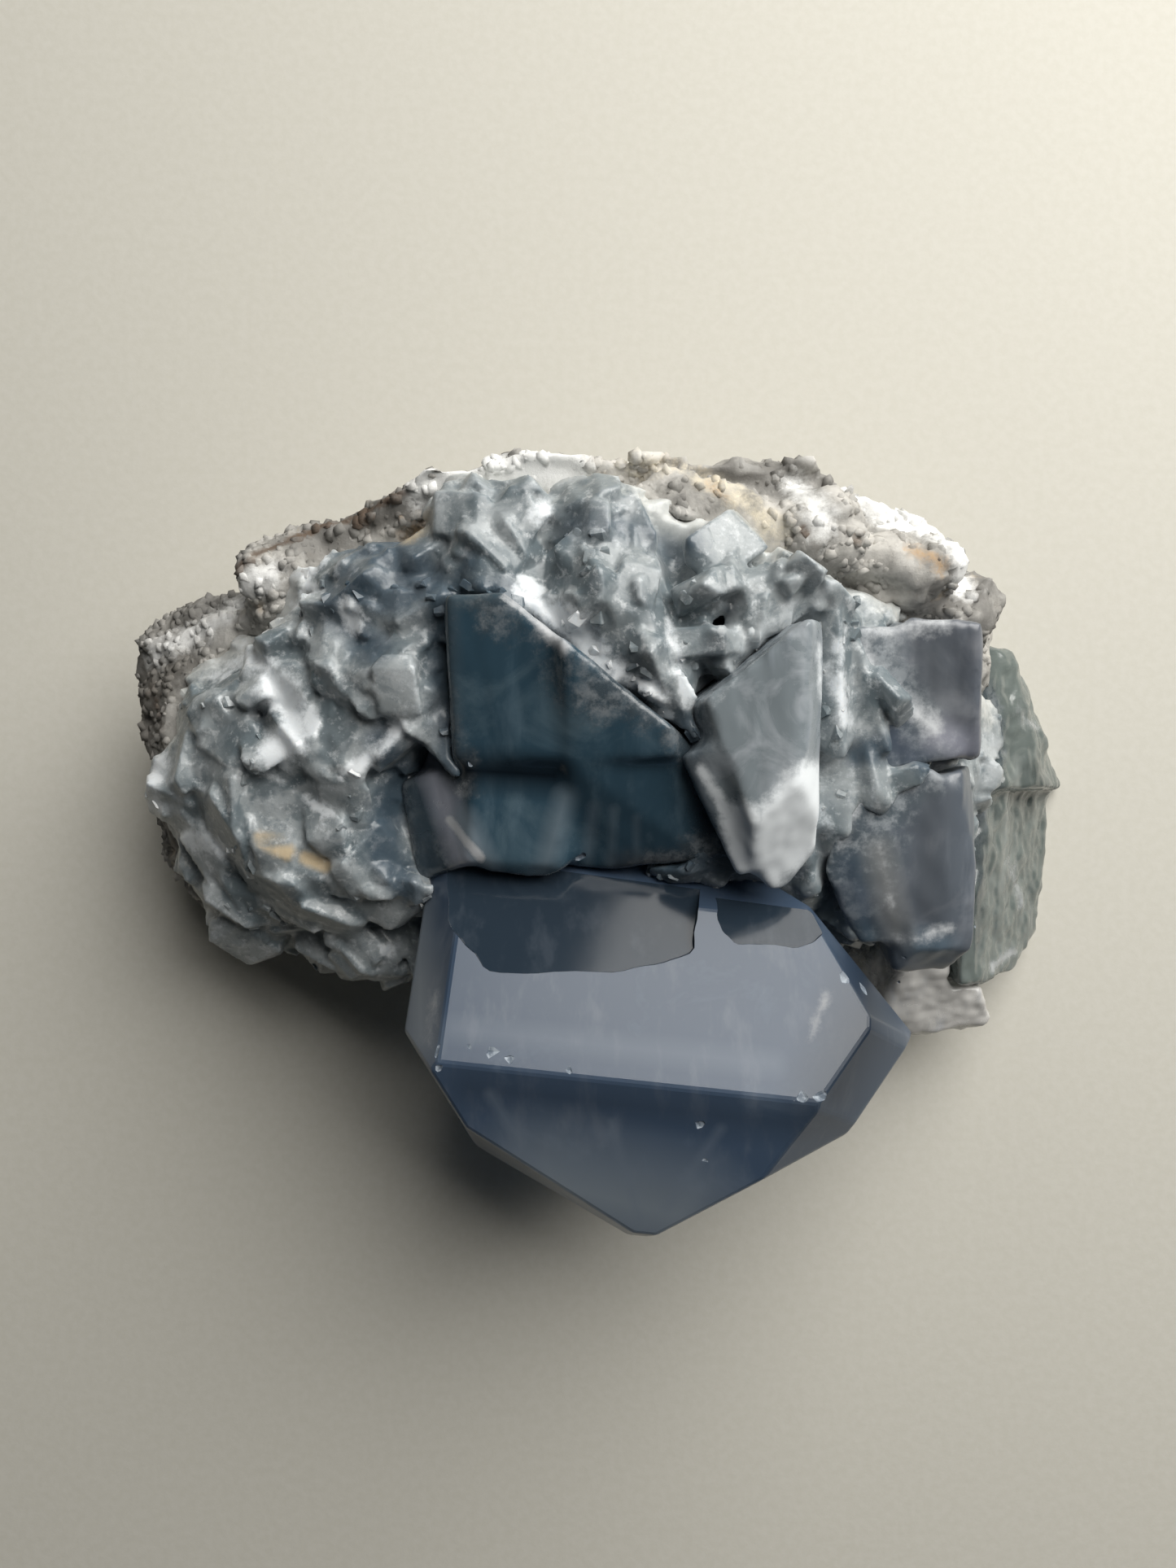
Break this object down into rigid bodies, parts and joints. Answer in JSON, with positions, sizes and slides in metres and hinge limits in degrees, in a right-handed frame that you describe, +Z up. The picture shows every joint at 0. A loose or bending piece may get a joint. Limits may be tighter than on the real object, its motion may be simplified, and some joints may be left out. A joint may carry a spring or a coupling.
{
  "type": "celestite geode",
  "caption": "Broken-out piece of a celestite geode: a pale rock shell lined with intergrown blue-grey crystal, with large clear chisel-pointed crystals on one side.",
  "frame": {"origin": "on the surface the piece rests on, under the middle of its bounding box", "axes": "+Z up from the resting surface, -Y the way the big front crystal points, +X towards the clear plates at the right; the rock shell is at the back (+Y) and underneath"},
  "size_m": [0.0814, 0.058, 0.034],
  "materials": {
    "front_crystal": "smooth natural crystal faces, clear blue-grey",
    "tall_crystal": "natural crystal faces, milky, bruised white at the point",
    "blue_crystals": "smooth and striated natural crystal faces, deep blue",
    "side_prism": "dull natural crystal faces, mauve-grey",
    "back_block": "dull natural crystal faces, dark grey",
    "edge_plates": "clear to cloudy crust, pale greenish grey",
    "corner_crystal": "clear brownish-grey crystal",
    "crystal_bed": "broken, intergrown crystal, cloudy grey-green with white bruises",
    "rock_shell": "rough sugary rock, white to grey with tan and brown stains"
  },
  "bodies": {
    "root": {"front_crystal": "front_crystal", "tall_crystal": "tall_crystal", "blue_crystals": "blue_crystals", "side_prism": "side_prism", "back_block": "back_block", "edge_plates": "edge_plates", "corner_crystal": "corner_crystal", "crystal_bed": "crystal_bed", "rock_shell": "rock_shell"}
  },
  "joints": []
}
